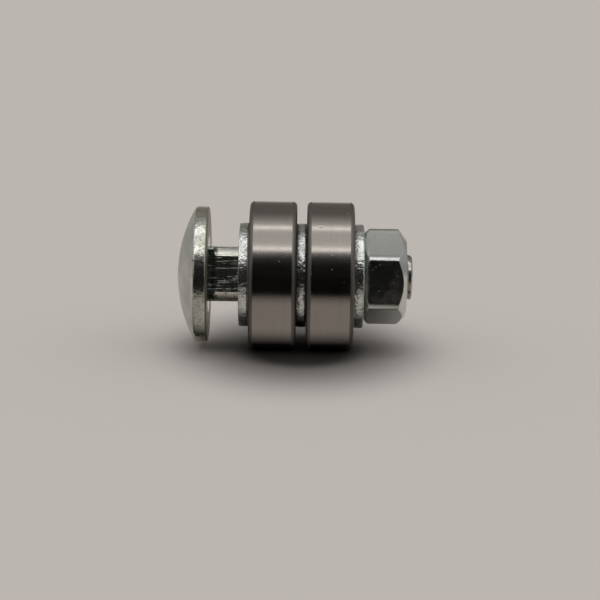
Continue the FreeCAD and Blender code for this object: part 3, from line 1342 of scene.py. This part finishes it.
@dataclass(frozen=True)
class Scrim:
    """A dark cloudy sheet just over the floor, unseen by the camera and the metal, that casts a painted
    shadow: where its cloud is, how far that reaches and how dense it is.
    """

    name: str
    centre: Pair
    half_length: float
    half_width: float
    core: float
    density: float
    lift: float

    def cloud(self, wiring: Wiring) -> Socket:
        """Wire the cloud of painted shadow: dense in its core and clear beyond its reach.

        Args:
            wiring: The scrim's node tree.

        Returns:
            The density.
        """
        centre = (self.centre[0] * MM, self.centre[1] * MM, 0.0)
        shares = (1 / (self.half_length * MM), 1 / (self.half_width * MM), 0.0)
        offset = wiring.vector("SUBTRACT", wiring.point, centre)[0]
        reach = wiring.vector("LENGTH", wiring.vector("MULTIPLY", offset, shares)[0])["Value"]
        return wiring.fade(reach, self.core, 1.0, self.density, 0.0)


@dataclass
class Studio:
    """Plain pale floor, soft light from above and behind, a black flag and a glowing card seen only in the
    metal, scrims that cast a painted shadow, and the camera.
    """

    floor_colour: Colour = (0.503, 0.468, 0.440)
    floor_size: float = 40000.0
    floor_place: float = -11.02
    card_half_length: float = 130.0
    card_middle: float = 13.7
    flag_place: float = -50.0
    flag_top: float = 8.0
    flag_colour: Colour = (0.012, 0.012, 0.012)
    # a glowing card seen only in the metal: a painted reflection of a lit floor in front
    glow_level: float = 0.74
    glow_lift: float = 0.01
    glow_front: Pair = (-42.0, -20.0)
    glow_back: Pair = (-4.0, -10.0)
    glow_sides: Pair = (8.0, 16.0)
    glow_side_share: float = 0.72
    scrim_half_side: float = 160.0
    scrim_shift: float = -0.7
    scrims: tuple[Scrim, ...] = (
        Scrim("shade_scrim", (13.8, 0.0), 24.0, 38.0, core=0.28, density=0.72, lift=0.05),
        Scrim("contact_shadow_scrim", (14.0, -2.0), 10.5, 14.0, core=0.60, density=0.70, lift=0.08),
    )
    lamps: tuple[Lamp, ...] = (
        Lamp("soft_key", strength=2.95, spread=150.0, tilt=-5.0),
        Lamp("top_light", strength=0.20, spread=16.0, tilt=-3.0),
    )
    sky: tuple[SkyStop, ...] = (
        SkyStop(0, 0.010), SkyStop(26, 0.012), SkyStop(38, 0.05), SkyStop(47, 0.35), SkyStop(51, 2.8),
        SkyStop(54, 1.0), SkyStop(63, 0.80), SkyStop(80, 0.76), SkyStop(86, 0.90), SkyStop(89, 2.9),
        SkyStop(92, 0.85), SkyStop(106, 0.42), SkyStop(120, 0.20, 0.08), SkyStop(148, 0.17, 0.14),
        SkyStop(167, 0.19, 0.14), SkyStop(173, 0.45, 0.10), SkyStop(180, 0.47, 0.10),
    )
    side_band: Pair = (0.35, 0.85)
    side_heights: Pair = (0.0, 0.8)
    side_levels: Pair = (0.24, 0.55)
    aim: Place = (13.7, 0.0, -3.76)
    distance: float = 300.0
    elevation: float = 11.0
    roll: float = 0.9
    lens: float = 120.0
    near_clip: float = 10.0
    clip_floors: float = 4.0

    def build(self) -> None:
        """Set up the floor, the cards, the lights and the camera."""
        self.lay_floor()
        self.stand_flag()
        self.lay_glow_card()
        for scrim in self.scrims:
            self.lay_scrim(scrim)
        for lamp in self.lamps:
            lamp.hang()
        self.paint_world()
        self.set_camera()
        bpy.context.scene.view_settings.view_transform = "Standard"

    def lay_floor(self) -> None:
        """Lay a plain matt floor just under the rollers."""
        place = (0.0, 0.0, self.floor_place)
        _, wiring = self.sheet("floor", place, (self.floor_size, self.floor_size))
        wiring.show(self.matt(wiring, self.floor_colour))

    def stand_flag(self) -> None:
        """Stand a black card in front, seen only as the dark band that the metal mirrors."""
        half_height = (self.flag_top - self.floor_place) / 2
        centre = (self.card_middle, self.flag_place, self.flag_top - half_height)
        flag, wiring = self.sheet("black_flag", centre, (self.card_half_length, half_height), 90.0)
        wiring.show(self.matt(wiring, self.flag_colour))
        self.show_in_metal_only(flag)

    def lay_glow_card(self) -> None:
        """Lay a glowing pale card in front, a painted reflection that fades out at both ends and is seen only
        in the underside of the metal.
        """
        front, back = self.flag_place, self.glow_back[0]
        centre = (self.card_middle, (front + back) / 2, self.floor_place + self.glow_lift)
        glow_card, wiring = self.sheet("reflection_glow_card", centre, (self.card_half_length, (back - front) / 2))
        parts = wiring.split(wiring.point)
        far = wiring.between(parts["Y"], *self.glow_front)
        near = wiring.between(parts["Y"], *self.glow_back)
        off_middle = wiring.math("ABSOLUTE", wiring.math("SUBTRACT", parts["X"], self.card_middle * MM))
        side = wiring.blend(wiring.between(off_middle, *self.glow_sides), 1.0, self.glow_side_share)
        strength = wiring.times(wiring.times(far, near), wiring.times(side, self.glow_level))
        # the card glows by itself: a painted reflection of a lit floor in front
        inputs = {"Color": opaque(self.floor_colour), "Strength": strength}
        wiring.show(wiring.add("Emission", inputs).outputs[0])
        self.show_in_metal_only(glow_card)

    def lay_scrim(self, scrim: Scrim) -> None:
        """Lay a dark scrim over the floor, unseen by the camera and the metal, that paints a deeper shadow
        under the metal.

        Args:
            scrim: Its cloud.
        """
        along = scrim.centre[0] + self.scrim_shift * self.scrim_half_side
        centre = (along, scrim.centre[1], self.floor_place + scrim.lift)
        cloth, wiring = self.sheet(scrim.name, centre, (self.scrim_half_side, self.scrim_half_side))
        clear = wiring.add("BsdfTransparent").outputs[0]
        inputs = {0: scrim.cloud(wiring), 1: clear, 2: self.matt(wiring, self.flag_colour)}
        wiring.show(wiring.add("MixShader", inputs).outputs[0])
        cloth.visible_camera = False
        cloth.visible_glossy = False

    @staticmethod
    def matt(wiring: Wiring, colour: Colour) -> Socket:
        """Make a matt shader in a colour."""
        return wiring.add("BsdfDiffuse", {"Color": opaque(colour)}).outputs[0]

    @staticmethod
    def sheet(name: str, centre: Place, half_sides: Pair, tilt: float = 0.0) -> tuple[Object, Wiring]:
        """Cut a flat rectangle for the stage, with a material of its own.

        Args:
            name: The object's name.
            centre: Where its middle is.
            half_sides: Half its length along X, and half its other side.
            tilt: How far it is tilted up about X, in degrees.

        Returns:
            The object and its material's node tree, still empty.
        """
        turn = Quaternion(ALONG, math.radians(tilt))
        place = Matrix.LocRotScale(Vector(centre) * MM, turn, Vector((*half_sides, 1.0)) * MM)
        bm = bmesh.new()
        bmesh.ops.create_grid(bm, x_segments=1, y_segments=1, size=1.0, matrix=place)
        paint = bpy.data.materials.new(f"{name}_paint")
        sheet = put(name, to_mesh(bm, name, paint))
        return sheet, Wiring.of(paint)

    @staticmethod
    def show_in_metal_only(sheet: Object) -> None:
        """Let only mirror reflections see a sheet of the stage.

        Args:
            sheet: The sheet.
        """
        sheet.visible_camera = False
        sheet.visible_diffuse = False
        sheet.visible_shadow = False

    def paint_world(self) -> None:
        """Paint the studio that the metal mirrors: an overhead panel, a dark front and dim sides."""
        world = bpy.data.worlds.new("studio")
        wiring = Wiring.of(world)
        parts = wiring.split(wiring.add("TexCoord").outputs["Generated"])
        front = wiring.times(parts["Y"], -1.0)
        angle = wiring.math("DIVIDE", wiring.math("ARCTAN2", parts["Z"], front), math.pi)
        ramp = wiring.add("ValToRGB", {"Fac": angle})
        stops = ramp.color_ramp.elements
        while len(stops) < len(self.sky):
            stops.new(1.0)
        for stop, sky in zip(stops, self.sky):
            stop.position = math.radians(sky.degrees) / math.pi
            stop.color = opaque(sky.colour())
        share = wiring.fade(wiring.math("ABSOLUTE", parts["X"]), *self.side_band)
        side = wiring.fade(parts["Z"], *self.side_heights, *self.side_levels)
        level = wiring.tint(share, ramp.outputs["Color"], side)
        light = wiring.add("Background", {"Color": level, "Strength": 1.0}).outputs[0]
        wiring.show(light, "OutputWorld")
        world.cycles_visibility.diffuse = False
        bpy.context.scene.world = world

    def set_camera(self) -> None:
        """Stand the camera in front, a little above the bolt."""
        data = bpy.data.cameras.new("camera")
        data.lens = self.lens
        data.clip_start = self.near_clip * MM
        data.clip_end = self.clip_floors * self.floor_size * MM
        camera = put("camera", data)
        tilt = math.radians(self.elevation)
        back = Vector((0.0, -math.cos(tilt), math.sin(tilt)))
        camera.location = (Vector(self.aim) + back * self.distance) * MM
        camera.rotation_mode = "QUATERNION"
        turn = Quaternion((0.0, 0.0, 1.0), math.radians(self.roll))
        camera.rotation_quaternion = (-back).to_track_quat("-Z", "Y") @ turn
        bpy.context.scene.camera = camera


def sub_assemblies() -> Iterable[CarriageBolt | StampedWasher | BallBearing | HexNut]:
    """List the sub-assemblies in the order that they go on the bolt.

    Returns:
        Each sub-assembly, still to be built.
    """
    yield CarriageBolt()
    yield StampedWasher("head_washer")
    yield BallBearing("head_bearing")
    yield StampedWasher("middle_washer")
    yield BallBearing("nut_bearing")
    yield StampedWasher("nut_washer")
    yield HexNut()


def main() -> None:
    """Build the studio and the guide, and report each piece."""
    logging.basicConfig(level=logging.INFO, format="%(message)s")
    Studio().build()
    LOG.info("studio set up")
    for part in sub_assemblies():
        for piece in part.build():
            LOG.info("%s: %d faces, %s", piece.name, len(piece.data.polygons), piece.active_material.name)


if __name__ == "__main__":
    main()
